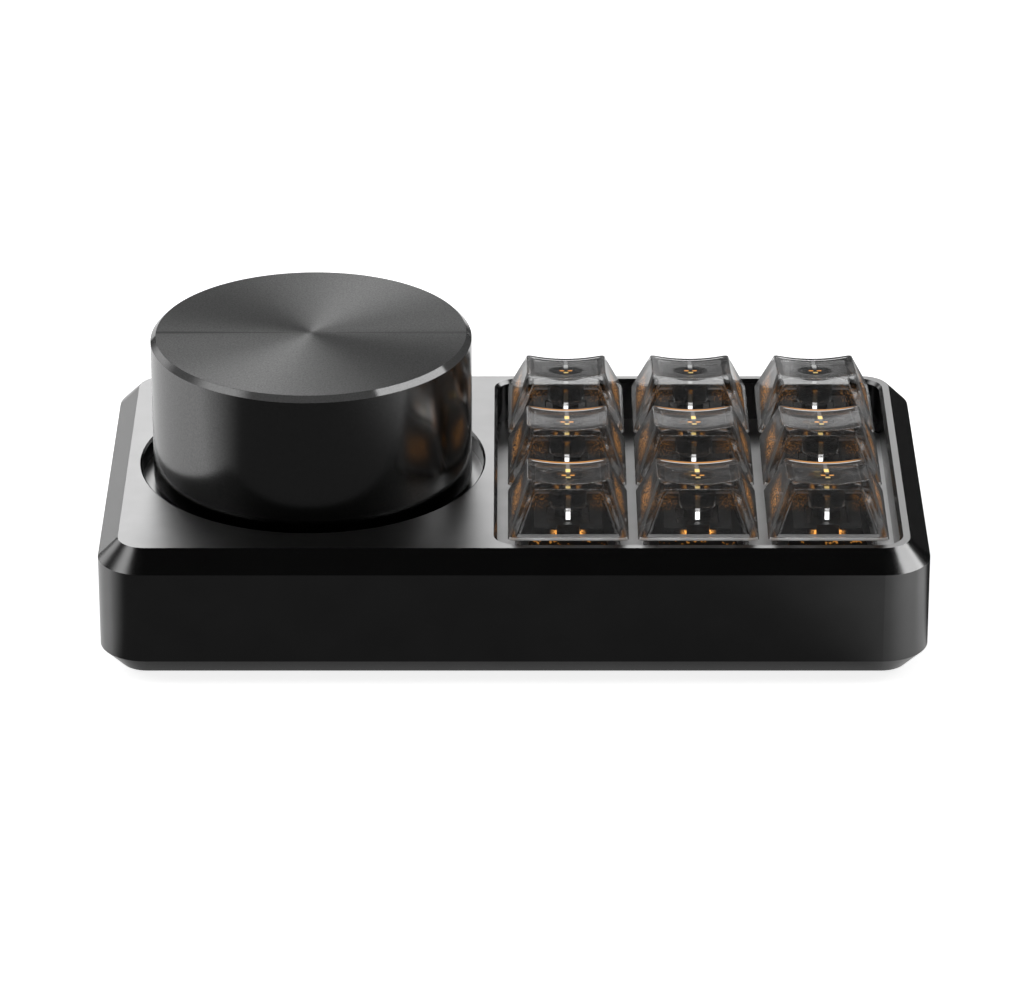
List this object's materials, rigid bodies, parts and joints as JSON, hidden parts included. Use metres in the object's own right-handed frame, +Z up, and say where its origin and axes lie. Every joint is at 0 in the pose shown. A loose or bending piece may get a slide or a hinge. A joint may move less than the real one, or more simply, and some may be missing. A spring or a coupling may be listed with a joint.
{
  "type": "macro keypad",
  "caption": "Low metal desk keypad with a block of clear sculpted keys and one large turning and pressing knob.",
  "frame": {"origin": "middle of the footprint on the surface that the feet stand on", "axes": "+X to the right along the long side, +Y to the back where the USB inlet is, +Z up"},
  "size_m": [0.122, 0.068, 0.0418],
  "materials": {
    "case_metal": "black anodised, satin",
    "knob_metal": "black anodised, turned top, satin sides",
    "plate_metal": "grey anodised, satin",
    "clear_cap": "clear smoke-grey, glossy",
    "stem_amber": "translucent amber",
    "switch_black": "fine moulded texture",
    "spring_steel": "bright wire",
    "contact_copper": "bright",
    "lamp_lens": "lit, warm white",
    "board": "black solder mask",
    "chip_black": "moulded",
    "socket_plastic": "moulded",
    "spacer_brass": "turned",
    "screw_steel": "black oxide",
    "bare_steel": "plain",
    "encoder_plastic": "moulded",
    "foot_rubber": "matte"
  },
  "bodies": {
    "housing": {"case": "case_metal", "bottom_plate": "case_metal", "rubber_feet": "foot_rubber", "case_screws": "screw_steel", "switch_plate": "plate_metal", "plate_spacers": "spacer_brass", "circuit_board": "board", "board_screws": "screw_steel", "microcontroller": "chip_black", "hot_swap_sockets": "socket_plastic", "key_lamps": "lamp_lens", "diodes": "chip_black", "usb_socket": "bare_steel", "usb_tongue": "chip_black", "switch_bottoms": "switch_black", "contact_leaves": "contact_copper", "encoder_body": "encoder_plastic", "encoder_bushing": "bare_steel", "encoder_washer": "bare_steel", "encoder_nut": "bare_steel", "switch_top_1": "switch_black", "switch_top_2": "switch_black", "switch_top_3": "switch_black", "switch_top_4": "switch_black", "switch_top_5": "switch_black", "switch_top_6": "switch_black", "switch_top_7": "switch_black", "switch_top_8": "switch_black", "switch_top_9": "switch_black", "spring_1": "spring_steel", "spring_2": "spring_steel", "spring_3": "spring_steel", "spring_4": "spring_steel", "spring_5": "spring_steel", "spring_6": "spring_steel", "spring_7": "spring_steel", "spring_8": "spring_steel", "spring_9": "spring_steel"},
    "key_1": {"keycap_1": "clear_cap", "stem_1": "stem_amber"},
    "key_2": {"keycap_2": "clear_cap", "stem_2": "stem_amber"},
    "key_3": {"keycap_3": "clear_cap", "stem_3": "stem_amber"},
    "key_4": {"keycap_4": "clear_cap", "stem_4": "stem_amber"},
    "key_5": {"keycap_5": "clear_cap", "stem_5": "stem_amber"},
    "key_6": {"keycap_6": "clear_cap", "stem_6": "stem_amber"},
    "key_7": {"keycap_7": "clear_cap", "stem_7": "stem_amber"},
    "key_8": {"keycap_8": "clear_cap", "stem_8": "stem_amber"},
    "key_9": {"keycap_9": "clear_cap", "stem_9": "stem_amber"},
    "push_carriage": {"encoder_plunger": "encoder_plastic"},
    "knob": {"encoder_shaft": "bare_steel", "knob": "knob_metal", "knob_grub_screw": "screw_steel"}
  },
  "joints": [
    {"name": "key_1_press", "type": "slide", "parent": "housing", "child": "key_1", "axis": [0, 0, -1], "range_m": [0, 0.004], "stiffness_N_per_m": 75, "springref_m": -0.004, "deforming": ["spring_1"]},
    {"name": "key_2_press", "type": "slide", "parent": "housing", "child": "key_2", "axis": [0, 0, -1], "range_m": [0, 0.004], "stiffness_N_per_m": 75, "springref_m": -0.004, "deforming": ["spring_2"]},
    {"name": "key_3_press", "type": "slide", "parent": "housing", "child": "key_3", "axis": [0, 0, -1], "range_m": [0, 0.004], "stiffness_N_per_m": 75, "springref_m": -0.004, "deforming": ["spring_3"]},
    {"name": "key_4_press", "type": "slide", "parent": "housing", "child": "key_4", "axis": [0, 0, -1], "range_m": [0, 0.004], "stiffness_N_per_m": 75, "springref_m": -0.004, "deforming": ["spring_4"]},
    {"name": "key_5_press", "type": "slide", "parent": "housing", "child": "key_5", "axis": [0, 0, -1], "range_m": [0, 0.004], "stiffness_N_per_m": 75, "springref_m": -0.004, "deforming": ["spring_5"]},
    {"name": "key_6_press", "type": "slide", "parent": "housing", "child": "key_6", "axis": [0, 0, -1], "range_m": [0, 0.004], "stiffness_N_per_m": 75, "springref_m": -0.004, "deforming": ["spring_6"]},
    {"name": "key_7_press", "type": "slide", "parent": "housing", "child": "key_7", "axis": [0, 0, -1], "range_m": [0, 0.004], "stiffness_N_per_m": 75, "springref_m": -0.004, "deforming": ["spring_7"]},
    {"name": "key_8_press", "type": "slide", "parent": "housing", "child": "key_8", "axis": [0, 0, -1], "range_m": [0, 0.004], "stiffness_N_per_m": 75, "springref_m": -0.004, "deforming": ["spring_8"]},
    {"name": "key_9_press", "type": "slide", "parent": "housing", "child": "key_9", "axis": [0, 0, -1], "range_m": [0, 0.004], "stiffness_N_per_m": 75, "springref_m": -0.004, "deforming": ["spring_9"]},
    {"name": "knob_push", "type": "slide", "parent": "housing", "child": "push_carriage", "axis": [0, 0, -1], "range_m": [0, 0.0005], "stiffness_N_per_m": 2000, "springref_m": -0.0015},
    {"name": "knob_spin", "type": "hinge", "parent": "push_carriage", "child": "knob", "pos_m": [-0.03025, 0, 0.03], "axis": [0, 0, 1], "continuous": true}
  ]
}
